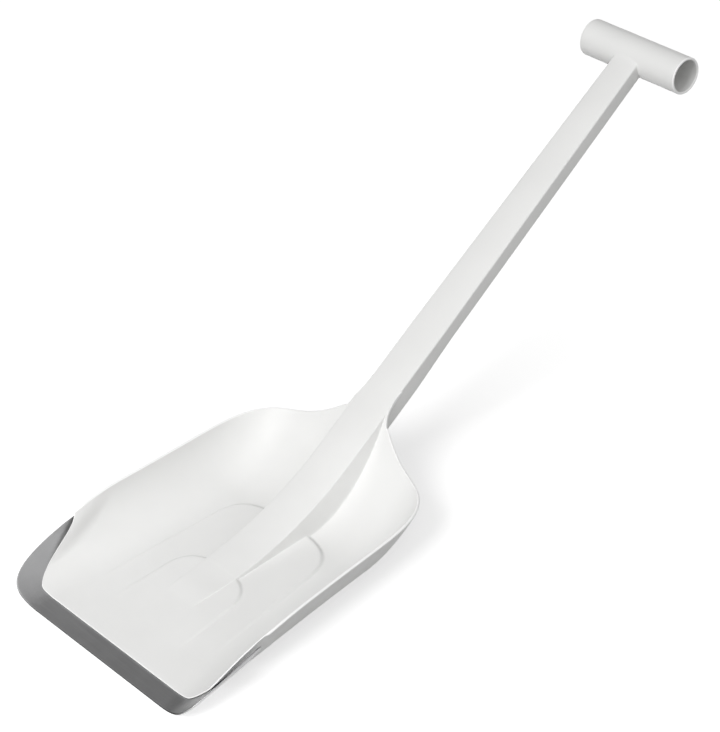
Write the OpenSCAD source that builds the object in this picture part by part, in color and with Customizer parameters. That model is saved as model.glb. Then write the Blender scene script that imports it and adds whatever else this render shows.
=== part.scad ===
// Snow shovel with a moulded scoop, a T-grip and a formed steel edge.
// Origin: centre of the bounding box's bottom face, on the plane that the blade rests on.
// +X to the right, +Y from the front edge towards the grip, +Z up. Every y below counts from
// a line just behind the steel's front edge, and placed() moves the finished pieces to the origin.

/* [Blade] */
// Flat floor half width at the front edge
floor_half = 82; // [72:1:92]
// How much the flat floor's half width shrinks per mm towards the rear
floor_taper = 0.115; // [0.1:0.005:0.13]
// Radius of the side walls, measured on their inner face
wall_r = 44.7; // [40:0.1:50]
// Height of the rim's level stretch
rim_z = 42; // [38:1:44]
// Where the rear wall starts to rise
rear_y = 198; // [180:1:210]
// Thickness of the moulded shell
shell_t = 2.6; // [2:0.1:3.5]
// Where the moulding's front edge lies
lip_y = 16.9; // [14:0.1:24]
// Where the moulding's rim starts, behind the steel edge
rim_start_y = 74; // [70:1:80]

/* [Floor platforms] */
// Rear end of the long pair
long_end_y = 204.5; // [190:0.5:210]
// Rear end of the short pair
short_end_y = 132; // [115:1:150]
// Half width of the long pair, carried forward to the front edge
long_half = 77; // [74:0.5:80]
// Half width of the short pair, carried forward to the front edge
short_half = 47.5; // [44:0.5:50]
// Height of the long pair at its rear end
long_h = 2.6; // [1:0.1:3]
// Height of the short pair above the long pair at its rear end
short_h = 2; // [1:0.1:3]

/* [Spine and shaft] */
// Rise angle of the shaft
shaft_angle = 29.4; // [25:0.1:32]
// Where the shaft's top line would meet the floor if it ran straight on
shaft_foot_y = 190; // [180:1:196]
// Radius of the bend from the floor into the shaft
spine_bend_r = 300; // [250:5:310]
// Half width of the spine's top
spine_half = 19.4; // [17:0.1:22]
// Half width of the shaft where it leaves the scoop
shaft_half = 17.8; // [16:0.1:20]
// Half width of the shaft at the grip
shaft_end_half = 13.2; // [11:0.1:15]
// Height of the crown across the top face
crown_h = 1.4; // [0.5:0.1:2.5]
// Depth of the channel section
shaft_depth = 13; // [11:0.5:16]
// Wall thickness of the channel
shaft_t = 2.8; // [2:0.1:3.5]

/* [Grip] */
// Outer diameter of the grip tube
grip_d = 33; // [30:0.5:36]
// Inner diameter of the grip tube
grip_bore_d = 28.6; // [26:0.1:30]
// Length of the grip tube
grip_length = 108.5; // [100:0.5:130]
// Distance of the grip's axis from the front edge
grip_y = 642.3; // [600:0.1:680]
// Height of the grip's axis above the resting plane
grip_z = 247.8; // [240:0.1:260]
// Rounding of the tube's end rims
grip_edge_r = 0.5; // [0.2:0.1:0.8]

/* [Steel edge] */
// How far the steel's front line lies ahead of y = 0
steel_reach = 1.5; // [0:0.1:4]
// Thickness of the steel
steel_t = 1.2; // [1:0.1:1.4]
// How far the steel reaches back under the floor
steel_back_y = 42; // [36:1:46]
// Angle of the side wall that the steel covers at its rear tip
steel_tip_angle = 70; // [64:1:72]
// Number of stakes across the floor
stake_count = 5; // [3:1:7]
// Spacing of the stakes
stake_pitch = 34; // [20:1:38]

/* [Hidden] */

white = [0.92, 0.92, 0.91];
steel_grey = [0.55, 0.55, 0.56];
gap = 0.3;

rear_curve = 0.006;
floor_taper_gain = 0.00018;
rim_peak_gain = 0.0058;
rim_peak_half = 85;
rim_angle = 83.2;
rim_start_angle = 76.8;
lip_lift = 3.9;
lift_reach = 25;
web_root_half = 27.7;
web_root_y = 296.4;
web_end_y = 325;
corner_row_y = 150;
wall_row_y = 248;
web_row_y = 292;
long_taper = 0.096;
long_nose = 40;
long_roundness = 3.5;
long_start_y = 50;
short_taper = 0.065;
short_nose = 30;
short_roundness = 2.6;
short_start_y = 45;
centre_y = (grip_y + grip_d / 2 - steel_reach) / 2;

module placed() {
    translate([0, -centre_y, 0]) children();
}

function clamp01(v) = max(0, min(1, v));
function smooth(v) = let (c = clamp01(v)) c * c * (3 - 2 * c);
function mix(a, b, f) = a + (b - a) * f;
function unit(v) = v / norm(v);

// ---- blade surface -------------------------------------------------------------
function floor_edge(y) = floor_half - floor_taper * y + floor_taper_gain * y * y;
function rear_rise(y) = rear_curve * pow(max(0, y - rear_y), 2);

// Height that a raised platform adds to the floor: straight sides and a rounded rear end.
function platform(x, y, half, taper, end_y, nose, power, start_y, h) =
    let (
        width = half - taper * min(y, end_y),
        sideways = pow(abs(x) / width, power),
        along = pow(max(0, (y - end_y + nose) / nose), power),
        total = max(sideways + along, 1e-9),
        inside = (1 - pow(total, 1 / power)) * (width * sideways + nose * along) / total
    )
    h * clamp01((y - start_y) / (end_y - start_y)) * smooth(inside / 3 + 0.5);

function platforms(x, y) =
    platform(x, y, long_half, long_taper, long_end_y, long_nose, long_roundness, long_start_y, long_h)
    + platform(x, y, short_half, short_taper, short_end_y, short_nose, short_roundness,
               short_start_y, short_h);

// A point of the blade's inner face: u runs along the face from the middle, y towards the rear,
// and lift pushes the side wall inwards.
function blade_point(u, y, lift = 0) =
    let (
        e = floor_edge(y),
        a = max(0, u - e) / wall_r * 180 / PI,
        r = wall_r - lift,
        x = u < e ? u : e + r * sin(a),
        z = u < e ? 0 : wall_r - r * cos(a)
    )
    [x, y, shell_t + z + rear_rise(y) + platforms(x, y)];

// ---- rim and front lip ---------------------------------------------------------
function rim_height(x) = rim_z + rim_peak_gain * pow(max(0, rim_peak_half - x), 2);
function side_rim_angle(y) =
    rim_angle - (rim_angle - rim_start_angle) * pow(clamp01((123 - y) / 49), 2);

// [u, y] of the rim in four stretches: side, rear corner, rear wall, and the web along the shaft.
function side_rim(y) = [floor_edge(y) + wall_r * side_rim_angle(y) * PI / 180, y];
function corner_rim(turn) =
    let (
        level = (rim_z - shell_t) / wall_r,
        a = acos(1 - level * pow(cos(turn), 2)),
        e = floor_edge(rear_y + 50),
        rise = rim_height(e + wall_r * sin(a)) - shell_t - wall_r * (1 - cos(a)),
        y = rear_y + sqrt(max(0, rise) / rear_curve)
    )
    [floor_edge(y) + wall_r * a * PI / 180, y];
function rear_rim(x) = [x, rear_y + sqrt((rim_height(x) - shell_t) / rear_curve)];
function web_half(y) =
    let (f = clamp01((y - web_root_y) / (web_end_y - web_root_y)))
    mix(web_root_half, shaft_half, sqrt(1 - pow(1 - f, 2)));

// Front lip: y against the angle up the side wall.
lip_first_angle = 20;
lip_angle_span = 56;
function lip_at(a) = mix(lip_y, rim_start_y, smooth((a - lip_first_angle) / lip_angle_span));

side_steps = 16;
corner_steps = 9;
rear_steps = 6;
web_steps = 4;
function stations() = concat(
    [for (i = [0:side_steps]) let (f = i / side_steps, y = mix(rim_start_y, rear_y, f))
        [side_rim(y), mix(lip_y, corner_row_y, f), f]],
    [for (i = [1:corner_steps]) let (f = i / corner_steps)
        [corner_rim(90 * f), mix(corner_row_y, wall_row_y, f), 1]],
    [for (i = [1:rear_steps]) let (f = i / rear_steps)
        [rear_rim(mix(corner_rim(90)[0], web_root_half, f)), mix(wall_row_y, web_row_y, f), 1]],
    [for (i = [1:web_steps]) let (f = i / web_steps, y = mix(web_root_y, web_end_y, f))
        [[web_half(y), y], mix(web_row_y, web_end_y, f), 1]]
);

// ---- spine ---------------------------------------------------------------------
crest_low = shell_t + 0.44 * long_h + short_h;
bend_reach = spine_bend_r * tan(shaft_angle / 2);
bend_start_y = shaft_foot_y - bend_reach;
bend_end_y = shaft_foot_y + bend_reach * cos(shaft_angle);
crest_fade_y = 60;
function crest_z(y) =
    y < bend_start_y ? mix(shell_t, crest_low, smooth((y - crest_fade_y) / (bend_start_y - crest_fade_y))) :
    y < bend_end_y ? crest_low + spine_bend_r - sqrt(pow(spine_bend_r, 2) - pow(y - bend_start_y, 2)) :
    crest_low + (y - shaft_foot_y) * tan(shaft_angle);
function crest_half(y) =
    y < 145 ? mix(14.5, spine_half, smooth((y - 40) / 105)) :
    y < 290 ? spine_half :
    mix(spine_half, shaft_half, smooth((y - 290) / 45));
function crown(y) = crown_h * smooth((y - 110) / 40);
draft = tan(12);

// ---- scoop shell as a grid of points --------------------------------------------
across = 18;
crown_rows = 3;
function half_row(st) =
    let (
        rim = st[0],
        yi = st[1],
        wc = crest_half(yi),
        cz = crest_z(yi),
        is_web = yi > web_row_y,
        ground = is_web ? cz : blade_point(wc + 0.5, yi)[2],
        peak = max(cz, ground + 0.02),
        wb = wc + 0.4 + draft * (peak - ground)
    )
    concat(
        [for (k = [0:crown_rows]) let (f = k / crown_rows)
            [wc * f, yi, peak + crown(yi) * (1 - f * f)]],
        [for (k = [0:across])
            let (
                f = k / across,
                u = mix(wb, rim[0], f),
                bend_f = (u - floor_edge(40)) / wall_r * 180 / PI,
                lip_shift = lip_at(bend_f) - mix(lip_y, rim_start_y, f),
                shift_share = rim[1] < rear_y ? pow(1 - clamp01(st[2] * 2), 2) : 0,
                y = mix(yi, rim[1], f) + lip_shift * shift_share,
                behind = y - lip_at(bend_f),
                lift = lip_lift * sin(180 * clamp01((bend_f - 38) / 39)) * smooth(1 - behind / lift_reach)
            )
            is_web ? [u, y, mix(cz, crest_z(y), f)] : blade_point(u, y, lift)]
    );
function mirrored(row) = concat(
    [for (k = [len(row) - 1:-1:1]) [-row[k][0], row[k][1], row[k][2]]], row);

inner_grid = [for (st = stations()) mirrored(half_row(st))];

function grid_normal(g, i, j) =
    let (
        n = len(g) - 1, m = len(g[0]) - 1,
        du = g[min(n, i + 1)][j] - g[max(0, i - 1)][j],
        dv = g[i][min(m, j + 1)] - g[i][max(0, j - 1)]
    )
    unit(cross(dv, du));

// The steel lies in a rebate under the front lip, so the shell is thinner there.
function steel_back_at(a) = mix(steel_back_y, rim_start_y + 2, pow(clamp01(a / steel_tip_angle), 2));
function shell_thickness(p) =
    let (a = asin(clamp01((abs(p[0]) - floor_edge(p[1])) / wall_r)))
    mix(shell_t - steel_t - gap, shell_t, smooth((p[1] - steel_back_at(a) - 5) / 6));

function outer_grid(g) = [for (i = [0:len(g) - 1]) [for (j = [0:len(g[0]) - 1])
    let (p = g[i][j], q = p - grid_normal(g, i, j) * shell_thickness(p))
    [q[0], p[1] < rear_y ? p[1] : q[1], q[2]]]];

// Closed shell between two grids of the same size.
module grid_solid(top, bottom) {
    n = len(top);
    m = len(top[0]);
    points = concat([for (r = top) each r], [for (r = bottom) each r]);
    function id(s, i, j) = s * n * m + i * m + j;
    function quad(a, b, c, d) = [[a, b, c], [a, c, d]];
    faces = concat(
        [for (i = [0:n - 2], j = [0:m - 2])
            each quad(id(0, i, j), id(0, i + 1, j), id(0, i + 1, j + 1), id(0, i, j + 1))],
        [for (i = [0:n - 2], j = [0:m - 2])
            each quad(id(1, i, j), id(1, i, j + 1), id(1, i + 1, j + 1), id(1, i + 1, j))],
        [for (i = [0:n - 2]) each quad(id(0, i, 0), id(1, i, 0), id(1, i + 1, 0), id(0, i + 1, 0))],
        [for (i = [0:n - 2])
            each quad(id(0, i, m - 1), id(0, i + 1, m - 1), id(1, i + 1, m - 1), id(1, i, m - 1))],
        [for (j = [0:m - 2]) each quad(id(0, 0, j), id(0, 0, j + 1), id(1, 0, j + 1), id(1, 0, j))],
        [for (j = [0:m - 2])
            each quad(id(0, n - 1, j), id(1, n - 1, j), id(1, n - 1, j + 1), id(0, n - 1, j + 1))]
    );
    polyhedron(points, faces, convexity = 10);
}

module scoop() {
    color(white) placed() grid_solid(inner_grid, outer_grid(inner_grid));
}

// ---- stiffening plates under the spine ------------------------------------------
spine_rib_ys = [165, 195, 225, 255];
spine_rib_t = 2;
spine_rib_half = spine_half - shell_t - 1;
function wall_under(y) =
    let (slope = 2 * rear_curve * max(0, y - rear_y))
    shell_t + rear_rise(y) - shell_t * sqrt(1 + slope * slope);

module spine_ribs() {
    color(white) placed() for (y = spine_rib_ys) {
        foot = max(0, wall_under(y + spine_rib_t)) + gap;
        top = crest_z(y) - shell_t / cos(shaft_angle) - 2 * gap;
        translate([-spine_rib_half, y, foot]) cube([2 * spine_rib_half, spine_rib_t, top - foot]);
    }
}

// ---- shaft: an inverted channel with a crowned top ---------------------------------
shaft_taper_y = 373;
shaft_deep_y = 325;
shaft_extra_depth = 3;
function shaft_half_at(y) = y < shaft_taper_y ? shaft_half
    : mix(shaft_half, shaft_end_half, (y - shaft_taper_y) / (grip_y - shaft_taper_y));
function shaft_drop(y) =
    (shaft_depth + shaft_extra_depth * smooth((385 - y) / 60)) / cos(shaft_angle);
shaft_stations = [shaft_deep_y, 335, 345, 355, 365, shaft_taper_y, 385, 440, 500, 560, 610, grip_y];
crown_steps = 4;

function channel_outer(y) =
    let (w = shaft_half_at(y), z = crest_z(y))
    concat(
        [[-w, y, z - shaft_drop(y)]],
        [for (k = [-crown_steps:crown_steps])
            let (f = k / crown_steps) [w * f, y, z + crown_h * (1 - f * f)]],
        [[w, y, z - shaft_drop(y)]]
    );
function channel_inner(y) =
    let (w = shaft_half_at(y) - shaft_t, z = crest_z(y) - shaft_t / cos(shaft_angle))
    concat(
        [[-w, y, crest_z(y) - shaft_drop(y)]],
        [for (k = [-crown_steps:crown_steps]) [w * k / crown_steps, y, z]],
        [[w, y, crest_z(y) - shaft_drop(y)]]
    );

// Side skirts run on under the rear wall until they meet it.
skirt_start_y = 277;
function skirt_top(y) = min(wall_under(y), crest_z(y) - shell_t / cos(shaft_angle) - gap) - 2 * gap;
module skirt() {
    ys = [for (k = [0:8]) mix(skirt_start_y, shaft_deep_y, k / 8)];
    outline = concat(
        [for (y = ys) [y, max(skirt_top(y), crest_z(y) - shaft_drop(y) + 0.2)]],
        [for (k = [8:-4:0]) [ys[k], crest_z(ys[k]) - shaft_drop(ys[k])]]
    );
    rotate([90, 0, 90]) linear_extrude(shaft_t) polygon(outline);
}

module shaft() {
    color(white) placed() difference() {
        union() {
            grid_solid([for (y = shaft_stations) channel_outer(y)],
                       [for (y = shaft_stations) channel_inner(y)]);
            translate([shaft_half - shaft_t, 0, 0]) skirt();
            translate([-shaft_half, 0, 0]) skirt();
        }
        translate([-grip_length / 2, grip_y, grip_z]) rotate([0, 90, 0])
            cylinder(h = grip_length, d = grip_d, $fn = 96);
    }
}

shaft_rib_pitch = 32;
shaft_rib_count = 9;
shaft_rib_t = 2;
shaft_rib_inset = 1;
module shaft_ribs() {
    color(white) placed() for (k = [0:shaft_rib_count - 1]) {
        y = 345 + k * shaft_rib_pitch;
        w = shaft_half_at(y + 3 * shaft_rib_t) - shaft_t - 0.1;
        depth = shaft_depth - shaft_rib_inset;
        translate([-w, y, crest_z(y)]) rotate([shaft_angle, 0, 0])
            translate([0, 0, -depth]) cube([2 * w, shaft_rib_t, depth - shaft_t - 0.1]);
    }
}

// ---- grip tube -------------------------------------------------------------------
module grip() {
    ri = grip_bore_d / 2;
    t = (grip_d - grip_bore_d) / 2;
    e = grip_edge_r;
    color(white) placed() translate([0, grip_y, grip_z]) rotate([0, 90, 0]) rotate_extrude($fn = 96) {
        translate([ri, e - grip_length / 2]) square([t, grip_length - 2 * e]);
        translate([ri + e, -grip_length / 2]) square([t - 2 * e, grip_length]);
        for (x = [ri + e, ri + t - e], y = [e - grip_length / 2, grip_length / 2 - e])
            translate([x, y]) circle(r = e, $fn = 24);
    }
}

// ---- steel edge ------------------------------------------------------------------
outer_r = wall_r + shell_t;
steel_front_angle = 8;
steel_corner_angle = 50;
steel_front_power = 3.9;
steel_tip_lean = 0.9;
steel_back_angle = 30;
steel_floor_steps = 4;
steel_corner_steps = 8;
steel_side_steps = 9;
steel_rows = 5;

// part: across the floor as a share of its width; a: angle up the side wall.
function steel_point(part, a, y, r) = [part * floor_edge(y) + r * sin(a), y, outer_r - r * cos(a)];
function steel_front_y(a) =
    let (f = clamp01((a - steel_front_angle) / (steel_tip_angle + steel_tip_lean - steel_front_angle)))
    (rim_start_y - 2 + steel_reach) * pow(f, steel_front_power) - steel_reach;

// [share, front angle, front y, rear angle, rear y] of each line across the strip.
function steel_lines() = concat(
    [for (k = [0:steel_floor_steps]) [k / steel_floor_steps, 0, -steel_reach, 0, steel_back_y]],
    [for (k = [1:steel_corner_steps])
        let (f = k / steel_corner_steps, a = steel_corner_angle * sin(90 * f), b = steel_back_angle * f)
        [1, a, steel_front_y(a), b, steel_back_at(b)]],
    [for (k = [1:steel_side_steps])
        let (
            f = k / steel_side_steps,
            a = mix(steel_corner_angle, steel_tip_angle + steel_tip_lean, f),
            b = mix(steel_back_angle, steel_tip_angle, f)
        )
        [1, a, steel_front_y(a), b, steel_back_at(b)]]
);
function steel_row(line, r) = [for (k = [0:steel_rows]) let (f = k / steel_rows)
    steel_point(line[0], mix(line[1], line[3], f), mix(line[2], line[4], f), r)];
function flip_row(row) = [for (p = row) [-p[0], p[1], p[2]]];
function steel_grid(r) =
    let (rows = [for (line = steel_lines()) steel_row(line, r)])
    concat([for (k = [len(rows) - 1:-1:1]) flip_row(rows[k])], rows);

stake_y = 31;
stake_head_r = 3.6;
stake_neck_r = 2.2;
stake_clearance = 0.05;
module at_stakes() {
    for (k = [0:stake_count - 1])
        translate([(k - (stake_count - 1) / 2) * stake_pitch, stake_y, 0]) children();
}

module steel_edge() {
    color(steel_grey) placed() difference() {
        grid_solid(steel_grid(outer_r), steel_grid(outer_r - steel_t));
        at_stakes() cylinder(h = steel_t, r1 = stake_head_r + stake_clearance,
                             r2 = stake_neck_r + stake_clearance, $fn = 48);
    }
}

module edge_stakes() {
    color(white) placed() at_stakes() {
        cylinder(h = steel_t, r1 = stake_head_r, r2 = stake_neck_r, $fn = 48);
        translate([0, 0, steel_t]) cylinder(h = gap, r = stake_neck_r, $fn = 48);
    }
}

scoop();
spine_ribs();
shaft();
shaft_ribs();
grip();
steel_edge();
edge_stakes();
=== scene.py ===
import math

import bpy
import numpy as np
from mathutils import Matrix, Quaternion, Vector


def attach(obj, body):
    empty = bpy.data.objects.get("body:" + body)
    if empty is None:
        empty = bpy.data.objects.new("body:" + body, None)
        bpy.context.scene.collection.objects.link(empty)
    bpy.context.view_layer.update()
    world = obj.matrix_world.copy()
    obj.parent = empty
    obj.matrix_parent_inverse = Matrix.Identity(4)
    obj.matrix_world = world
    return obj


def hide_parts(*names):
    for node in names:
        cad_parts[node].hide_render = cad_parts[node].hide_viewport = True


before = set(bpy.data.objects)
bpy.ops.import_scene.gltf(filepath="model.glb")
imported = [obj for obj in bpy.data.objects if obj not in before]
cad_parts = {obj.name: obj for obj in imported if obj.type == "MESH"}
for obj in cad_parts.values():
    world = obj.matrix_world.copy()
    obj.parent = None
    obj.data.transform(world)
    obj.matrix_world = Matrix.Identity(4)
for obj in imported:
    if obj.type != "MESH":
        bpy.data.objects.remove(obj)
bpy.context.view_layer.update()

MM = 0.001


# ---------------------------------------------------------------- sizes, in mm
# Every y counts from just behind the steel's front edge; CENTRE_Y moves it to the frame's origin.
FLOOR_HALF, FLOOR_TAPER, FLOOR_GAIN = 82.0, 0.115, 0.00018
WALL_R, SHELL_T = 44.7, 2.6
REAR_Y, REAR_CURVE = 198.0, 0.006
RIM_Z, RIM_GAIN, RIM_PEAK_HALF = 42.0, 0.0058, 85.0
RIM_ANGLE, RIM_START_ANGLE, RIM_START_Y = 83.2, 76.8, 74.0
LIP_Y, LIP_FIRST_ANGLE, LIP_SPAN_ANGLE = 16.9, 20.0, 56.0
LIP_LIFT, LIFT_REACH, LIFT_FIRST_ANGLE, LIFT_SPAN_ANGLE = 3.9, 42.0, 38.0, 39.0
RIM_BEND_Y, RIM_BEND_LENGTH = 123.0, 49.0
REBATE_MARGIN, REBATE_FADE = 5.0, 6.0
WEB_START_Y, WEB_START_HALF, WEB_END_Y, WEB_END_MARGIN = 296.4, 27.7, 325.0, 0.6
SHAFT_ANGLE, SHAFT_FOOT_Y, BEND_R = math.radians(29.4), 190.0, 300.0
SPINE_FRONT_HALF, SPINE_HALF, SHAFT_HALF, SHAFT_END_HALF = 14.5, 19.4, 17.8, 13.2
SPINE_WIDEN_Y, SPINE_WIDEN_LENGTH = 40.0, 105.0
SPINE_NARROW_Y, SPINE_NARROW_LENGTH = 290.0, 45.0
CROWN, CROWN_START_Y, CROWN_FADE = 1.4, 110.0, 40.0
SHAFT_DEPTH, SHAFT_EXTRA, SHAFT_DEEP_Y, SHAFT_DEEP_FADE, SHAFT_T = 13.0, 3.0, 385.0, 60.0, 2.8
SHAFT_TAPER_Y, SHAFT_START_Y = 373.0, 266.0
GRIP_R, GRIP_BORE_R, GRIP_LENGTH = 16.5, 14.3, 108.5
GRIP_Y, GRIP_Z = 642.3, 247.8
STEEL_T, STEEL_BACK_Y, STEEL_TIP_ANGLE, STEEL_TIP_HALF = 1.2, 42.0, 70.0, 2.0
STEEL_REACH, STEEL_FRONT_POWER, STEEL_TIP_LEAN = 1.5, 3.9, 0.9
STEEL_FRONT_ANGLE, STEEL_CORNER_ANGLE, STEEL_BACK_ANGLE = 8.0, 50.0, 30.0
STAKE_PROUD, STEEL_BULGE, STEEL_CLEAR = 0.1, 0.3, 0.02
STEEL_OUTER_R = WALL_R + SHELL_T
GAP = 0.3
JOIN_DIP, JOIN_DIP_Y = 0.25, 312.0
WEB_CAP_Y, WEB_CAP_FADE, WEB_CAP_BLEND = 270.0, 12.0, 0.6  # the web stays under the crest
CENTRE_Y = (GRIP_Y + GRIP_R - STEEL_REACH) / 2
LONG = dict(half=77.0, taper=0.096, end=204.5, nose=40.0, power=3.5, start=50.0, height=2.6)
SHORT = dict(half=47.5, taper=0.065, end=132.0, nose=30.0, power=2.6, start=45.0, height=2.0)
STEP_WIDTH = 1.7  # run of a platform's sloping side
CREST_LOW, CREST_FADE_Y = 5.75, 60.0
DRAFT = math.tan(math.radians(12))  # slope of the spine's sides
BEND_REACH = BEND_R * math.tan(SHAFT_ANGLE / 2)
BEND_START_Y = SHAFT_FOOT_Y - BEND_REACH
BEND_END_Y = SHAFT_FOOT_Y + BEND_REACH * math.cos(SHAFT_ANGLE)


def clamp01(v):
    return np.clip(v, 0.0, 1.0)


def smooth(v):
    c = clamp01(v)
    return c * c * (3 - 2 * c)


def mix(a, b, f):
    return a + (b - a) * f


def soft_max(a, b, k):
    return (a + b + np.sqrt((a - b) ** 2 + k * k)) / 2


def soft_min(a, b, k):
    return (a + b - np.sqrt((a - b) ** 2 + k * k)) / 2


# ---------------------------------------------------------------- blade surface
def floor_edge(y):
    return FLOOR_HALF - FLOOR_TAPER * y + FLOOR_GAIN * y * y


def rear_rise(y):
    return REAR_CURVE * np.maximum(0, y - REAR_Y) ** 2


def platform(x, y, half, taper, end, nose, power, start, height):
    """Height of a raised platform with straight sides and a rounded rear end."""
    width = half - taper * np.minimum(y, end)
    across = (np.abs(x) / width) ** power
    along = np.maximum(0, (y - end + nose) / nose) ** power
    total = across + along
    scale = (width * across + nose * along) / np.maximum(total, 1e-9)
    inside = (1 - total ** (1 / power)) * scale
    return height * clamp01((y - start) / (end - start)) * smooth(inside / STEP_WIDTH + 0.5)


def lip_at(angle):
    """Front lip: y against the angle up the side wall, in degrees."""
    return LIP_Y + (RIM_START_Y - LIP_Y) * smooth((angle - LIP_FIRST_ANGLE) / LIP_SPAN_ANGLE)


def wall_angle(u):
    return np.degrees((u - floor_edge(40.0)) / WALL_R)


def lip_lift(u, y):
    """How far the side wall leans inwards just behind the lip."""
    a = wall_angle(u)
    return (LIP_LIFT * np.sin(np.pi * clamp01((a - LIFT_FIRST_ANGLE) / LIFT_SPAN_ANGLE))
            * smooth(1 - (y - lip_at(a)) / LIFT_REACH))


def crest_z(y):
    """Height of the spine's and the shaft's top line."""
    low = mix(SHELL_T, CREST_LOW, smooth((y - CREST_FADE_Y) / (BEND_START_Y - CREST_FADE_Y)))
    along = np.clip(y - BEND_START_Y, 0, BEND_R * 0.9)  # kept under the root's limit past the bend
    bend = CREST_LOW + BEND_R - np.sqrt(BEND_R ** 2 - along ** 2)
    straight = CREST_LOW + (y - SHAFT_FOOT_Y) * math.tan(SHAFT_ANGLE)
    return np.where(y < BEND_START_Y, low, np.where(y < BEND_END_Y, bend, straight))


def crest_cos(y):
    slope = np.clip((y - BEND_START_Y) / BEND_R, 0, math.sin(SHAFT_ANGLE))
    return np.sqrt(1 - slope ** 2)


def crest_half(y):
    front = mix(SPINE_FRONT_HALF, SPINE_HALF, smooth((y - SPINE_WIDEN_Y) / SPINE_WIDEN_LENGTH))
    rear = mix(SPINE_HALF, SHAFT_HALF, smooth((y - SPINE_NARROW_Y) / SPINE_NARROW_LENGTH))
    return np.where(y < SPINE_NARROW_Y, front, rear)


def crown(y):
    return CROWN * smooth((y - CROWN_START_Y) / CROWN_FADE)


def ground(u, y, plates=True):
    """Inner face without the spine: u runs along the face from the middle. Returns x, z."""
    e = floor_edge(y)
    a = np.maximum(0, u - e) / WALL_R
    r = WALL_R - lip_lift(u, y)
    x = np.where(u < e, u, e + r * np.sin(a))
    z = SHELL_T + np.where(u < e, 0, WALL_R - r * np.cos(a)) + rear_rise(y)
    if plates:
        z = z + platform(x, y, **LONG) + platform(x, y, **SHORT)
    capped = mix(z, soft_min(z, crest_z(y), WEB_CAP_BLEND), smooth((y - WEB_CAP_Y) / WEB_CAP_FADE))
    return x, np.where(y > WEB_CAP_Y, capped, z)


def ground_normal(u, y, d=0.05):
    """Unit normal of the inner face, from points d to each side."""
    x0, z0 = ground(u - d, y, False)
    x1, z1 = ground(u + d, y, False)
    x2, z2 = ground(u, y - d, False)
    x3, z3 = ground(u, y + d, False)
    du = np.stack([x1 - x0, np.zeros_like(x0), z1 - z0], -1)
    dy = np.stack([x3 - x2, np.full_like(x0, 2 * d), z3 - z2], -1)
    n = np.cross(du, dy)
    return n / np.linalg.norm(n, axis=-1, keepdims=True)


def steel_back_at(angle):
    return mix(STEEL_BACK_Y, RIM_START_Y + STEEL_TIP_HALF, clamp01(angle / STEEL_TIP_ANGLE) ** 2)


def thickness(x, y):
    """The shell is thinner where the steel lies in its rebate."""
    a = np.degrees(np.arcsin(clamp01((np.abs(x) - floor_edge(y)) / WALL_R)))
    thin = SHELL_T - STEEL_T - GAP
    return mix(thin, SHELL_T, smooth((y - steel_back_at(a) - REBATE_MARGIN) / REBATE_FADE))


def side_rim_angle(y):
    share = clamp01((RIM_BEND_Y - y) / RIM_BEND_LENGTH) ** 2
    return RIM_ANGLE - (RIM_ANGLE - RIM_START_ANGLE) * share


def rim_height(x):
    return RIM_Z + RIM_GAIN * np.maximum(0, RIM_PEAK_HALF - x) ** 2


CORNER_WIDTH_Y = REAR_Y + 50  # where the corner takes the floor's half width


def corner_rim(turn):
    """(u, y) of the rim round the rear corner, for a turn of 0 to 90 degrees in radians."""
    level = (RIM_Z - SHELL_T) / WALL_R
    a = math.acos(1 - level * math.cos(turn) ** 2)
    e = floor_edge(CORNER_WIDTH_Y)
    rise = rim_height(e + WALL_R * math.sin(a)) - SHELL_T - WALL_R * (1 - math.cos(a))
    y = REAR_Y + math.sqrt(max(0.0, rise) / REAR_CURVE)
    return floor_edge(y) + WALL_R * a, y


def web_half(y):
    """Half width of the web that runs from the rear wall into the shaft's sides."""
    f = clamp01((y - WEB_START_Y) / (WEB_END_Y - WEB_START_Y))
    return mix(WEB_START_HALF, SHAFT_HALF + WEB_END_MARGIN, np.sqrt(1 - (1 - f) ** 2))


SIDE_ROWS, CORNER_ROWS, REAR_ROWS, WEB_ROWS = 110, 60, 36, 24
CORNER_ROW_Y, WALL_ROW_Y, WEB_ROW_Y = 150.0, 248.0, 292.0


def stations():
    """(rim u, rim y, middle y, share of the front block or None) of each row, front to rear."""
    rows = []
    for i in range(SIDE_ROWS + 1):
        f = i / SIDE_ROWS
        y = mix(RIM_START_Y, REAR_Y, f)
        rows.append((floor_edge(y) + WALL_R * math.radians(side_rim_angle(y)), y,
                     mix(LIP_Y, CORNER_ROW_Y, f), f))
    for i in range(1, CORNER_ROWS + 1):
        f = i / CORNER_ROWS
        u, y = corner_rim(math.pi / 2 * f)
        rows.append((u, y, mix(CORNER_ROW_Y, WALL_ROW_Y, f), None))
    first = corner_rim(math.pi / 2)[0]
    for i in range(1, REAR_ROWS + 1):
        f = i / REAR_ROWS
        x = mix(first, WEB_START_HALF, f)
        y = REAR_Y + math.sqrt((rim_height(x) - SHELL_T) / REAR_CURVE)
        rows.append((x, y, mix(WALL_ROW_Y, WEB_ROW_Y, f), None))
    for i in range(1, WEB_ROWS + 1):
        f = i / WEB_ROWS
        y = mix(WEB_START_Y, WEB_END_Y, f)
        rows.append((float(web_half(y)), y, mix(WEB_ROW_Y, WEB_END_Y, f), None))
    return rows


CREST_COLUMNS, EDGE_COLUMNS, SIDE_COLUMNS, FOOT_COLUMNS, FLOOR_COLUMNS = 9, 6, 7, 5, 130
EDGE_INSIDE, EDGE_OUTSIDE, FOOT_OUTSIDE, LAST_GAP = 1.4, 0.3, 2.6, 1.5


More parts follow.
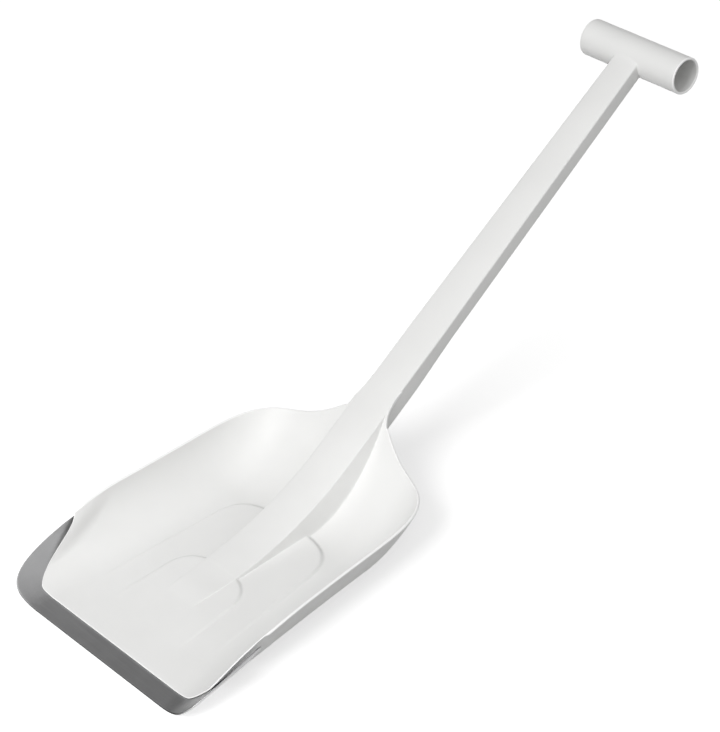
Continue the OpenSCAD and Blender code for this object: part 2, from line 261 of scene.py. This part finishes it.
def column_breaks(crest_x, foot_x, rim_u):
    """Columns from the middle to the rim, dense at the crest's edge and along the spine's side,
    and each one's share of the way from the spine's foot to the rim."""
    breaks = [crest_x - EDGE_INSIDE, crest_x + EDGE_OUTSIDE, foot_x + EDGE_OUTSIDE, foot_x + FOOT_OUTSIDE]
    squeeze = min(1.0, (rim_u - breaks[0]) / (breaks[3] - breaks[0] + LAST_GAP))
    breaks = [breaks[0] + (v - breaks[0]) * squeeze for v in breaks]
    parts = [np.linspace(0, breaks[0], CREST_COLUMNS),
             np.linspace(breaks[0], breaks[1], EDGE_COLUMNS + 1)[1:],
             np.linspace(breaks[1], breaks[2], SIDE_COLUMNS + 1)[1:],
             np.linspace(breaks[2], breaks[3], FOOT_COLUMNS + 1)[1:],
             np.linspace(breaks[3], rim_u, FLOOR_COLUMNS + 1)[1:]]
    inner = sum(len(v) for v in parts[:-1])
    share = np.concatenate([np.zeros(inner), np.linspace(0, 1, FLOOR_COLUMNS + 1)[1:]])
    return np.concatenate(parts), share


RIM_INSET = 0.9
TINY = 0.02  # least height of the crest over the floor, and least rounding
EDGE_BLEND, EDGE_BLEND_SHARE = 1.0, 0.5  # rounding at the crest's edge
FOOT_BLEND, FOOT_BLEND_SHARE = 0.9, 0.35  # rounding at the spine's foot
FOOT_STEP = 0.5
LEAST_SIDE = 0.1


def half_row(row, under):
    """Points from the middle to the rim, on the shell's inner face or, if under, its outer face."""
    rim_u, rim_y, middle_y, front_share = row
    rim_u = rim_u - RIM_INSET
    crest_x = float(crest_half(middle_y))
    foot_z = float(ground(np.array([crest_x + FOOT_STEP]), np.array([float(middle_y)]))[1][0])
    crest = float(crest_z(middle_y))
    wall_t = SHELL_T if under else 0.0
    crest_x = crest_x - wall_t
    foot_x = crest_x + DRAFT * max(LEAST_SIDE, crest - foot_z)
    u, share = column_breaks(crest_x, foot_x, rim_u)
    y = mix(middle_y, rim_y, share)
    if front_share is not None:
        ends = mix(CORNER_ROW_Y, REAR_Y, share)
        a = wall_angle(u)
        front = np.where(share > 0, lip_at(a), LIP_Y)
        y = mix(front, ends, front_share)
    x, z = ground(u, y)
    crest = crest_z(y)
    base = ground(crest_half(y) + FOOT_STEP, y)[1]
    crest = np.maximum(crest, base + TINY)
    height = np.maximum(0, crest - base)
    half = crest_half(y)
    if under:
        n = ground_normal(u, y)
        t = thickness(x, y)
        x = x - n[:, 0] * t
        z = z - n[:, 2] * t
        y = np.where(y < REAR_Y, y, y - n[:, 1] * t)
        top = crest - t / crest_cos(y)
        half = half - wall_t
    else:
        top = crest + crown(y) * (1 - (x / half) ** 2)
    side = crest + (half - x) / DRAFT
    spine = soft_min(top, side, np.minimum(EDGE_BLEND, TINY + EDGE_BLEND_SHARE * height))
    z = soft_max(spine, z, np.minimum(FOOT_BLEND, TINY + FOOT_BLEND_SHARE * height))
    z = z - JOIN_DIP * smooth((y - JOIN_DIP_Y) / (WEB_END_Y - JOIN_DIP_Y))
    return np.stack([x, y, z], -1)


def mirrored(rows):
    """Rows from the middle to the right become rows from left to right."""
    left = rows[:, :0:-1].copy()
    left[..., 0] *= -1
    return np.concatenate([left, rows], 1)


# ---------------------------------------------------------------- meshes
def add_mesh(name, verts, faces, edge=None):
    """Mesh object from millimetres. edge gives each vertex's share of painted light on the rounded
    outline, 0 to 1: a painted highlight on the plastic and painted shade on the steel.
    """
    mesh = bpy.data.meshes.new(name)
    v = np.array(verts, dtype=float) * MM
    v[:, 1] -= CENTRE_Y * MM
    mesh.from_pydata(v.tolist(), [], faces)
    mesh.polygons.foreach_set("use_smooth", [True] * len(mesh.polygons))
    if edge is not None:
        mesh.attributes.new("edge", "FLOAT", "POINT").data.foreach_set("value", edge)
    mesh.validate()
    mesh.update()
    obj = bpy.data.objects.new(name, mesh)
    bpy.context.collection.objects.link(obj)
    return obj


def grid_faces(ids, flip=False):
    a, b, c, d = ids[:-1, :-1], ids[:-1, 1:], ids[1:, 1:], ids[1:, :-1]
    quads = np.stack([a, d, c, b] if flip else [a, b, c, d], -1).reshape(-1, 4)
    return quads.tolist()


def closed_shell(top, bottom, bulge=0.42, flat_end=False, steps=5, front_reach=math.inf):
    """Closed solid between two grids, with each vertex's edge share: 1 on the rounded outline, where the
    plastic gets a painted highlight and the steel painted shade. Its outline is rounded, by front_reach
    at most along the first row, and not at all along the last if flat_end."""
    n, m = top.shape[:2]
    loop = ([(0, j) for j in range(m)] + [(i, m - 1) for i in range(1, n)]
            + [(n - 1, j) for j in range(m - 2, -1, -1)] + [(i, 0) for i in range(n - 2, 0, -1)])
    out = np.zeros_like(top)
    out[0] += top[0] - top[1]
    out[:, -1] += top[:, -1] - top[:, -2]
    out[:, 0] += top[:, 0] - top[:, 1]
    if not flat_end:
        out[-1] += top[-1] - top[-2]
    ring = []
    for i, j in loop:
        t, b, o = top[i, j], bottom[i, j], out[i, j]
        through = (t - b) / max(1e-6, np.linalg.norm(t - b))
        o = o - through * o.dot(through)
        size = np.linalg.norm(o)
        reach = 0.0 if (flat_end and i == n - 1) else bulge * np.linalg.norm(t - b)
        if i == 0:
            reach = min(reach, front_reach)
        o = o / size * reach if size > 1e-9 else o * 0
        ring.append([(t + b) / 2 + (t - b) / 2 * math.cos(math.pi * k / steps)
                     + o * math.sin(math.pi * k / steps) for k in range(1, steps)])
    verts = np.concatenate([v.reshape(-1, 3) for v in (top, bottom, np.array(ring))])
    top_ids = np.arange(n * m).reshape(n, m)
    low_ids = top_ids + n * m
    first = 2 * n * m
    faces = grid_faces(top_ids) + grid_faces(low_ids, flip=True)
    strips = []
    for k, (i, j) in enumerate(loop):
        mid = [first + k * (steps - 1) + s for s in range(steps - 1)]
        strips.append([top_ids[i, j]] + mid + [low_ids[i, j]])
    strips.append(strips[0])
    for p, q in zip(strips[:-1], strips[1:]):
        faces += [(int(p[s]), int(p[s + 1]), int(q[s + 1]), int(q[s])) for s in range(steps)]
    # 1 on the rounded outline: the plastic's painted highlight and, near the bottom, the steel's painted
    #                           shade.
    edge = [0.0] * first + [1.0] * (len(verts) - first)
    return verts, faces, edge


def ring_faces(rows, size):
    """Quads between neighbouring closed rings."""
    faces = []
    for i in range(rows - 1):
        near, far = i * size, (i + 1) * size
        for j in range(size):
            k = (j + 1) % size
            faces.append((far + j, far + k, near + k, near + j))
    return faces


# ---------------------------------------------------------------- scoop
LIP_ROUNDING = 0.5


def build_scoop():
    rows = stations()
    top = mirrored(np.array([half_row(r, False) for r in rows]))
    bottom = mirrored(np.array([half_row(r, True) for r in rows]))
    # The scoop's rounded rim and lip carry the painted highlight.
    return add_mesh("scoop_moulding",
                    *closed_shell(top, bottom, flat_end=True, front_reach=LIP_ROUNDING))


# ---------------------------------------------------------------- shaft
AXIS = np.array([0, math.cos(SHAFT_ANGLE), math.sin(SHAFT_ANGLE)])
UP = np.array([0, -math.sin(SHAFT_ANGLE), math.cos(SHAFT_ANGLE)])
ROOT = np.array([0, WEB_END_Y, float(crest_z(WEB_END_Y))])
GRIP = np.array([0, GRIP_Y, GRIP_Z])


def shaft_half_at(y):
    f = np.maximum(0, (y - SHAFT_TAPER_Y) / (GRIP_Y - SHAFT_TAPER_Y))
    return mix(SHAFT_HALF, SHAFT_END_HALF, f)


def shaft_depth_at(y):
    return SHAFT_DEPTH + SHAFT_EXTRA * smooth((SHAFT_DEEP_Y - y) / SHAFT_DEEP_FADE)


def arc(cx, cz, r, a0, a1, steps):
    """Points on an arc from a0 to a1 degrees."""
    t = np.radians(np.linspace(a0, a1, steps + 1))
    return [(cx + r * math.cos(v), cz + r * math.sin(v)) for v in t]


TOP_EDGE_R, TOP_EDGE_RAISE, TOP_EDGE_ANGLE = 1.5, 0.2, 78
FOOT_R, FOOT_R_SHARE = 0.9, 0.3
ROOF_R, ROOF_R_SHARE = 1.6, 0.6
SIDE_START, INNER_START = 2.6, 0.6
TOP_POINTS, SIDE_POINTS, INNER_POINTS, ROOF_POINTS = 9, 6, 5, 6
TOP_EDGE_STEPS, CORNER_STEPS = 5, 4


def channel(w, depth, wall):
    """Half section of the shaft, as (x, height) from the top's middle round to the inner roof's."""
    edge = TOP_EDGE_R
    foot = min(FOOT_R, wall * FOOT_R_SHARE)
    inner = min(ROOF_R, wall * ROOF_R_SHARE)
    rise = CROWN * math.cos(SHAFT_ANGLE)
    pts = [(x, rise * (1 - (x / w) ** 2)) for x in np.linspace(0, w - edge, TOP_POINTS)]
    pts += arc(w - edge, -edge + TOP_EDGE_RAISE, edge, TOP_EDGE_ANGLE, 0, TOP_EDGE_STEPS)
    pts += [(w, z) for z in np.linspace(-SIDE_START, -depth + foot, SIDE_POINTS)]
    pts += arc(w - foot, -depth + foot, foot, 0, -90, CORNER_STEPS)[1:]
    pts += arc(w - wall + foot, -depth + foot, foot, -90, -180, CORNER_STEPS)
    inner_x = w - wall
    pts += [(inner_x, z) for z in np.linspace(-depth + foot + INNER_START, -wall - inner, INNER_POINTS)]
    pts += arc(inner_x - inner, -wall - inner, inner, 0, 90, CORNER_STEPS)[1:]
    pts += [(x, -wall) for x in np.linspace(inner_x - inner, 0, ROOF_POINTS)[1:]]
    return np.array(pts)


def full_loop(half):
    left = half[-2:0:-1].copy()
    left[:, 0] *= -1
    return np.concatenate([half, left])


GRIP_OVERLAP = 0.15
FILLET, FILLET_STEPS, FILLET_POWER, FILLET_MARGIN = 3.2, 10, 1.6, 1
FLARE_SHARE, FOOT_FLARE, FLARE_ZONE = 0.8, -0.4, 1.2
OUTER_SHARE, TOP_SHARE = 0.6, 0.5  # parts of the wall that count as its outside and its top
SHAFT_ROWS, START_WALL, START_FADE = 90, 0.8, 40
SINK, SINK_Y, SINK_ZONE = 0.6, 318, 2


def reach_to_grip(height):
    """Distance along the shaft from ROOT to the grip's surface, at a height over the crest line."""
    rel = GRIP - (ROOT + UP * height)
    along = rel.dot(AXIS)
    off = rel.dot(UP)
    return along - math.sqrt(max(0.0, (GRIP_R - GRIP_OVERLAP) ** 2 - off * off))


def on_shaft(along, x, height):
    """Point at a distance along the shaft from ROOT, x to the side and height over the crest line."""
    return ROOT + AXIS * along + UP * height + np.array([x, 0, 0])


def shaft_ring(along):
    """Ring of the straight part. Its wall starts thin, and its top a little sunk, in the scoop."""
    y = WEB_END_Y + along * math.cos(SHAFT_ANGLE)
    wall = float(mix(START_WALL, SHAFT_T, smooth((y - SHAFT_START_Y) / START_FADE)))
    sink = SINK * float(smooth((SINK_Y - y) / START_FADE))
    loop = full_loop(channel(float(shaft_half_at(y)), float(shaft_depth_at(y)), wall))
    return [on_shaft(along, x, h - (sink if h > -SINK_ZONE else 0)) for x, h in loop]


def fillet_ring(loop, half, depth, straight_end, f):
    """Ring of the fillet against the grip: f goes from 0 where it starts to 1 at the tube."""
    flare = FILLET - math.sqrt(FILLET ** 2 - (FILLET - FILLET * (1 - f)) ** 2)
    ring = []
    for x, h in loop:
        outer = abs(x) > half - SHAFT_T * OUTER_SHARE and h < CROWN
        nx = math.copysign(1.0, x) if outer and h < -FLARE_ZONE else 0.0
        nz = 1.0 if h > -FLARE_ZONE and h > -SHAFT_T * TOP_SHARE else 0.0
        if outer and h < -depth + FLARE_ZONE:
            nz = FOOT_FLARE
        height = h + nz * flare * FLARE_SHARE
        side = x + nx * flare * FLARE_SHARE
        along = mix(straight_end, reach_to_grip(height), 1 - (1 - f) ** FILLET_POWER)
        ring.append(on_shaft(along, side, height))
    return ring


def build_shaft():
    straight_end = reach_to_grip(0) - FILLET - FILLET_MARGIN
    start = -(WEB_END_Y - SHAFT_START_Y) / math.cos(SHAFT_ANGLE)
    verts = []
    for along in np.linspace(start, straight_end, SHAFT_ROWS):
        verts += shaft_ring(along)
    y_end = WEB_END_Y + straight_end * math.cos(SHAFT_ANGLE)
    half, depth = float(shaft_half_at(y_end)), float(shaft_depth_at(y_end))
    loop = full_loop(channel(half, depth, SHAFT_T))
    for i in range(1, FILLET_STEPS + 1):
        verts += fillet_ring(loop, half, depth, straight_end, i / FILLET_STEPS)
    size = len(loop)
    faces = ring_faces(len(verts) // size, size)
    faces.append(list(range(size)))
    faces.append([len(verts) - size + k for k in range(size)][::-1])
    return add_mesh("shaft_channel", verts, faces)


# ---------------------------------------------------------------- grip tube
GRIP_RIM_R, GRIP_RIM_STEPS = 1.0, 6
BORE_RIM_R, BORE_RIM_STEPS, BORE_START = 0.7, 5, 0.4
# The last value is the width in mm of the tube's end rims that get a painted highlight.
GRIP_COLUMNS, GRIP_TURNS, PAINTED_HIGHLIGHT_RIM = 30, 128, 0.75


def grip_profile():
    """Closed section of the tube's wall, as (x, radius)."""
    half, rim, small = GRIP_LENGTH / 2, GRIP_RIM_R, BORE_RIM_R
    out, bore = GRIP_R, GRIP_BORE_R
    rim_arc = arc(0, 0, rim, 0, 90, GRIP_RIM_STEPS)
    bore_arc = arc(0, 0, small, 90, 180, BORE_RIM_STEPS)
    far_bore_arc = arc(0, 0, small, 180, 90, BORE_RIM_STEPS)
    far_rim_arc = arc(0, 0, rim, 90, 0, GRIP_RIM_STEPS)
    inside = half - small - BORE_START
    pts = [(v, out) for v in np.linspace(-half + rim, half - rim, GRIP_COLUMNS)]
    pts += [(half - rim + q, out - rim + p) for p, q in rim_arc[1:]]
    pts += [(half - small + q, bore + small + p) for p, q in bore_arc]
    pts += [(v, bore) for v in np.linspace(inside, -inside, GRIP_COLUMNS)]
    pts += [(-half + small - q, bore + small + p) for p, q in far_bore_arc]
    pts += [(-half + rim - q, out - rim + p) for p, q in far_rim_arc[:-1]]
    return pts


def build_grip():
    profile = grip_profile()
    size = len(profile)
    verts, faces, edge = [], [], []
    for k in range(GRIP_TURNS):
        t = 2 * math.pi * k / GRIP_TURNS
        n = (k + 1) % GRIP_TURNS
        for j, (x, r) in enumerate(profile):
            i = (j + 1) % size
            verts.append((x, GRIP_Y + r * math.cos(t), GRIP_Z + r * math.sin(t)))
            faces.append((k * size + j, k * size + i, n * size + i, n * size + j))
            # The tube's end rims get a painted highlight.
            edge.append(float(abs(x) > GRIP_LENGTH / 2 - PAINTED_HIGHLIGHT_RIM))
    return add_mesh("grip_tube", verts, faces, edge)


# ---------------------------------------------------------------- steel edge
STRAIGHT_LINES, CORNER_LINES, TIP_LINES, STEEL_ROWS = 40, 32, 40, 24
# Painted shade along the steel's bottom edge: full below the first height in mm, fading out over the
# second.
PAINTED_SHADE_Z, PAINTED_SHADE_FADE = 4, 8


def steel_front_y(a):
    """y of the steel's front edge against the angle up the side wall, in degrees."""
    f = clamp01((a - STEEL_FRONT_ANGLE) / (STEEL_TIP_ANGLE + STEEL_TIP_LEAN - STEEL_FRONT_ANGLE))
    return float((RIM_START_Y - STEEL_TIP_HALF + STEEL_REACH) * f ** STEEL_FRONT_POWER - STEEL_REACH)


def steel_line(a, b):
    return 1, a, steel_front_y(a), b, float(steel_back_at(b))


def steel_lines():
    """(share of the floor's width, front angle, front y, back angle, back y), middle to tip."""
    lines = [(k / STRAIGHT_LINES, 0, -STEEL_REACH, 0, STEEL_BACK_Y)
             for k in range(STRAIGHT_LINES + 1)]
    for k in range(1, CORNER_LINES + 1):
        f = k / CORNER_LINES
        lines.append(steel_line(STEEL_CORNER_ANGLE * math.sin(math.pi / 2 * f), STEEL_BACK_ANGLE * f))
    for k in range(1, TIP_LINES + 1):
        f = k / TIP_LINES
        lines.append(steel_line(mix(STEEL_CORNER_ANGLE, STEEL_TIP_ANGLE + STEEL_TIP_LEAN, f),
                                mix(STEEL_BACK_ANGLE, STEEL_TIP_ANGLE, f)))
    return lines


def steel_grid(r):
    """The band's surface at radius r round the side walls' axis."""
    grid = []
    for part, a0, y0, a1, y1 in steel_lines():
        row = []
        for f in np.linspace(0, 1, STEEL_ROWS + 1):
            a, y = math.radians(mix(a0, a1, f)), mix(y0, y1, f)
            row.append((part * floor_edge(y) + r * math.sin(a), y, STEEL_OUTER_R - r * math.cos(a)))
        grid.append(row)
    return np.array(grid)


def both_sides(grid):
    """Lines from the middle outwards become one grid from left to right; rows run front to rear."""
    left = grid[:0:-1].copy()
    left[..., 0] *= -1
    return np.concatenate([left, grid]).transpose(1, 0, 2)


def build_steel():
    """The band lies STAKE_PROUD above the stakes' heads, so that these show from below."""
    top = both_sides(steel_grid(STEEL_OUTER_R - STEEL_T))
    low = both_sides(steel_grid(STEEL_OUTER_R - STAKE_PROUD))
    for band in (top, low):
        band[0, :, 1] += STEEL_BULGE * STEEL_T + STEEL_CLEAR
    verts, faces, edge = closed_shell(top, low, bulge=STEEL_BULGE)
    # Painted shade: the band's rounded outline is darkened along its bottom, fading out with height.
    painted_shade = [e * (1 - float(smooth((z - PAINTED_SHADE_Z) / PAINTED_SHADE_FADE)))
            for e, (_, _, z) in zip(edge, verts)]
    return add_mesh("steel_edge_band", verts, faces, painted_shade)


# ---------------------------------------------------------------- materials
MIX_SHARE, MIX_A, MIX_B, MIX_RESULT = 0, 6, 7, 2  # a Mix node's sockets for colours


class Nodes:
    """Small helper around a material's node tree."""

    def __init__(self, name):
        self.mat = bpy.data.materials.new(name)
        self.mat.use_nodes = True
        self.tree = self.mat.node_tree
        self.shader = self.tree.nodes["Principled BSDF"]
        self.coords = self.tree.nodes.new("ShaderNodeTexCoord").outputs["Object"]

    def link(self, a, b):
        self.tree.links.new(a, b)

    def mapped(self, scale):
        node = self.tree.nodes.new("ShaderNodeMapping")
        node.inputs["Scale"].default_value = scale
        self.link(self.coords, node.inputs["Vector"])
        return node.outputs["Vector"]

    def noise(self, scale, detail, rough, vector=None):
        node = self.tree.nodes.new("ShaderNodeTexNoise")
        node.inputs["Scale"].default_value = scale
        node.inputs["Detail"].default_value = detail
        node.inputs["Roughness"].default_value = rough
        self.link(vector or self.coords, node.inputs["Vector"])
        return node.outputs["Fac"]

    def tones(self, value, low_colour, high_colour, low=0.3, high=0.7):
        """Goes from low_colour to high_colour as the value goes from low to high."""
        node = self.tree.nodes.new("ShaderNodeValToRGB")
        stops = zip(node.color_ramp.elements, (low, high), (low_colour, high_colour))
        for stop, position, colour in stops:
            stop.position = position
            stop.color = (*colour, 1)
        self.link(value, node.inputs["Fac"])
        return node.outputs["Color"]

    def span(self, value, low, high, start=0.0, end=1.0):
        """Goes from low to high as the value goes from start to end."""
        node = self.tree.nodes.new("ShaderNodeMapRange")
        node.inputs["From Min"].default_value = start
        node.inputs["From Max"].default_value = end
        node.inputs["To Min"].default_value = low
        node.inputs["To Max"].default_value = high
        self.link(value, node.inputs["Value"])
        return node.outputs["Result"]

    def math(self, op, a, b):
        node = self.tree.nodes.new("ShaderNodeMath")
        node.operation = op
        for socket, v in zip(node.inputs, (a, b)):
            if isinstance(v, (int, float)):
                socket.default_value = v
            else:
                self.link(v, socket)
        return node.outputs["Value"]

    def blend(self, a, b, share):
        """Colour a where share is 0, colour b where it is 1."""
        node = self.tree.nodes.new("ShaderNodeMix")
        node.data_type = "RGBA"
        self.link(share, node.inputs[MIX_SHARE])
        self.link(a, node.inputs[MIX_A])
        node.inputs[MIX_B].default_value = (*b, 1)
        return node.outputs[MIX_RESULT]

    def edge(self, scale=1.0):
        """Share of rounded outline, from the mesh, times scale; the plastic paints a highlight there and
        the steel painted shade.
        """
        node = self.tree.nodes.new("ShaderNodeAttribute")
        node.attribute_name = "edge"
        return self.math("MULTIPLY", node.outputs["Fac"], scale)

    def bump(self, height, distance, strength, normal=None):
        node = self.tree.nodes.new("ShaderNodeBump")
        node.inputs["Strength"].default_value = strength
        node.inputs["Distance"].default_value = distance
        self.link(height, node.inputs["Height"])
        if normal is not None:
            self.link(normal, node.inputs["Normal"])
        return node.outputs["Normal"]


def plastic_material():
    m = Nodes("white_moulded_plastic")
    cloud = m.noise(scale=14, detail=4, rough=0.55)
    tone = m.tones(cloud, (0.80, 0.80, 0.79), (0.83, 0.83, 0.82))
    # Painted highlight: where the mesh's edge share is high (the scoop's rounded rim and lip, the grip
    # tube's end rims) the colour is lightened to near white.
    m.link(m.blend(tone, (0.98, 0.98, 0.975), m.edge()), m.shader.inputs["Base Color"])
    grain = m.noise(scale=1500, detail=3, rough=0.6)
    patches = m.noise(scale=40, detail=5, rough=0.6)
    rough = m.math("ADD", m.span(patches, 0.36, 0.5, start=0.3, end=0.7), m.span(grain, -0.03, 0.03))
    m.link(rough, m.shader.inputs["Roughness"])
    waves = m.bump(m.noise(scale=22, detail=2, rough=0.5), distance=0.0006, strength=0.35)
    m.link(m.bump(grain, distance=0.00004, strength=0.6, normal=waves), m.shader.inputs["Normal"])
    m.shader.inputs["IOR"].default_value = 1.49
    m.shader.inputs["Specular IOR Level"].default_value = 0.45
    return m.mat


def steel_material():
    """Brushed across the blade, so the streaks are stretched along x."""
    m = Nodes("brushed_edge_steel")
    streak = m.noise(scale=1, detail=4, rough=0.65, vector=m.mapped((18, 2600, 2600)))
    fine = m.noise(scale=1, detail=3, rough=0.6, vector=m.mapped((60, 7000, 7000)))
    cloud = m.noise(scale=30, detail=4, rough=0.6)
    tone = m.math("ADD", m.math("MULTIPLY", streak, 0.6), m.math("MULTIPLY", cloud, 0.4))
    body = m.tones(tone, (0.40, 0.40, 0.405), (0.54, 0.54, 0.545))
    # Painted shade: the steel's rounded bottom edge is darkened to near black by the mesh's edge share.
    m.link(m.blend(body, (0.02, 0.02, 0.02), m.edge()), m.shader.inputs["Base Color"])
    rough = m.math("MAXIMUM", m.span(streak, 0.3, 0.48, start=0.3, end=0.7), m.edge(scale=0.95))
    m.link(rough, m.shader.inputs["Roughness"])
    coarse = m.bump(streak, distance=0.00006, strength=0.5)
    m.link(m.bump(fine, distance=0.00003, strength=0.5, normal=coarse), m.shader.inputs["Normal"])
    m.shader.inputs["Metallic"].default_value = 1.0
    m.shader.inputs["Anisotropic"].default_value = 0.4
    return m.mat


# ---------------------------------------------------------------- pieces
scoop = build_scoop()
shaft = build_shaft()
grip = build_grip()
steel = build_steel()
plastic = plastic_material()
metal = steel_material()

for piece, mat, slot_name, node in (
        (scoop, plastic, "white_plastic", "scoop"), (shaft, plastic, "white_plastic", "shaft"),
        (grip, plastic, "white_plastic", "grip"), (steel, metal, "edge_steel", "steel_edge")):
    piece.data.materials.append(mat)
    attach(piece, "root")
    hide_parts(node)

for name in ("spine_ribs", "shaft_ribs", "edge_stakes"):
    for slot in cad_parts[name].material_slots:
        slot.material = plastic


# ---------------------------------------------------------------- stage, light, camera
# Lengths are in metres from here on.
DOME_LEFT, DOME_RIGHT, DOME_BELOW, DOME_ABOVE, HORIZON = 0.15, 0.86, 0.3, 1.0, 0.15
FLOOR_HALF_SIDE, FLOOR_DROP, FLOOR_GLOW = 6.0, 0.0004, 0.5
BACKDROP_R, BACKDROP_HEIGHT, BACKDROP_SIDES, BACKDROP_GLOW = 5.9, 9.0, 96, 0.9
WHITE = (1, 1, 1, 1)
BLACK = (0, 0, 0, 1)


def stage_mesh(name, verts, faces, material):
    mesh = bpy.data.meshes.new(name)
    mesh.from_pydata(verts, [], faces)
    mesh.materials.append(material)
    obj = bpy.data.objects.new(name, mesh)
    bpy.context.collection.objects.link(obj)
    return obj


def floor_material():
    m = Nodes("pale_floor")
    tone = m.tones(m.noise(scale=3, detail=3, rough=0.5), (0.74, 0.74, 0.74), (0.76, 0.76, 0.76))
    m.link(tone, m.shader.inputs["Base Color"])
    m.shader.inputs["Roughness"].default_value = 0.9
    m.shader.inputs["Specular IOR Level"].default_value = 0.1
    m.shader.inputs["Emission Color"].default_value = WHITE
    m.shader.inputs["Emission Strength"].default_value = FLOOR_GLOW
    return m.mat


def stage_floor():
    """Pale floor that takes the shovel's shadow but throws no light onto it."""
    half, z = FLOOR_HALF_SIDE, -FLOOR_DROP
    corners = [(-half, -half, z), (half, -half, z), (half, half, z), (-half, half, z)]
    obj = stage_mesh("floor", corners, [(0, 1, 2, 3)], floor_material())
    obj.visible_diffuse = False


def backdrop_material():
    m = Nodes("pale_backdrop")
    m.shader.inputs["Base Color"].default_value = BLACK
    m.shader.inputs["Specular IOR Level"].default_value = 0.0
    m.shader.inputs["Emission Color"].default_value = WHITE
    m.shader.inputs["Emission Strength"].default_value = BACKDROP_GLOW
    return m.mat


def backdrop():
    """Pale wall round the stage that only the camera sees, so it lights nothing."""
    sides = BACKDROP_SIDES
    turns = [2 * math.pi * k / sides for k in range(sides)]
    verts = [(BACKDROP_R * math.cos(t), BACKDROP_R * math.sin(t), z)
             for z in (0.0, BACKDROP_HEIGHT) for t in turns]
    faces = [(k, (k + 1) % sides, sides + (k + 1) % sides, sides + k) for k in range(sides)]
    obj = stage_mesh("backdrop", verts, faces, backdrop_material())
    obj.visible_diffuse = False
    obj.visible_glossy = False
    obj.visible_shadow = False
    obj.visible_transmission = False


def area_light(name, place, target, size, power, glossy=True):
    data = bpy.data.lights.new(name, "AREA")
    data.shape = "SQUARE"
    data.size = size
    data.energy = power
    obj = bpy.data.objects.new(name, data)
    obj.location = place
    obj.rotation_mode = "QUATERNION"
    obj.rotation_quaternion = (Vector(target) - Vector(place)).to_track_quat("-Z", "Y")
    obj.visible_glossy = glossy
    bpy.context.collection.objects.link(obj)


def world_light():
    """Dome that brightens from below the horizon to above it, and from the left to the right."""
    world = bpy.data.worlds.new("studio")
    world.use_nodes = True
    tree = world.node_tree
    place = tree.nodes.new("ShaderNodeTexCoord")
    split = tree.nodes.new("ShaderNodeSeparateXYZ")
    tree.links.new(place.outputs["Generated"], split.inputs["Vector"])
    both = tree.nodes.new("ShaderNodeMath")
    both.operation = "MULTIPLY"
    ramps = (("Z", DOME_BELOW, DOME_ABOVE, HORIZON, "SMOOTHSTEP"),
             ("X", DOME_LEFT, DOME_RIGHT, 1.0, "LINEAR"))
    for factor, (axis, low, high, reach, kind) in zip(both.inputs, ramps):
        node = tree.nodes.new("ShaderNodeMapRange")
        node.interpolation_type = kind
        node.inputs["From Min"].default_value = -reach
        node.inputs["From Max"].default_value = reach
        node.inputs["To Min"].default_value = low
        node.inputs["To Max"].default_value = high
        tree.links.new(split.outputs[axis], node.inputs["Value"])
        tree.links.new(node.outputs["Result"], factor)
    tree.links.new(both.outputs["Value"], tree.nodes["Background"].inputs["Strength"])
    tree.nodes["Background"].inputs["Color"].default_value = WHITE
    bpy.context.scene.world = world


# The camera's place, aim, roll and lens were solved from the photo's perspective.
CAMERA_AT = (1.29505, -0.70686 - CENTRE_Y * MM, 1.34623)
LOOK_AT = (0.0, 0.29860 - CENTRE_Y * MM, 0.11458)
ROLL = math.radians(-7.39)
LENS = 122.46


def add_camera():
    data = bpy.data.cameras.new("camera")
    data.sensor_width = 36
    data.lens = LENS
    data.clip_start = 0.05
    data.clip_end = 50
    camera = bpy.data.objects.new("camera", data)
    bpy.context.collection.objects.link(camera)
    camera.location = CAMERA_AT
    camera.rotation_mode = "QUATERNION"
    aim = (Vector(LOOK_AT) - Vector(CAMERA_AT)).to_track_quat("-Z", "Y")
    camera.rotation_quaternion = aim @ Quaternion((0, 0, 1), ROLL)
    bpy.context.scene.camera = camera


stage_floor()
backdrop()
area_light("key", place=(0.1, -1.8, 1.9), target=(0, -0.1, 0), size=1.5, power=38)
area_light("front_fill", place=(-0.1, -2.2, 0.35), target=(0, 0.1, 0.15), size=1.2, power=4,
           glossy=False)
world_light()
bpy.context.scene.view_settings.view_transform = "Standard"
add_camera()
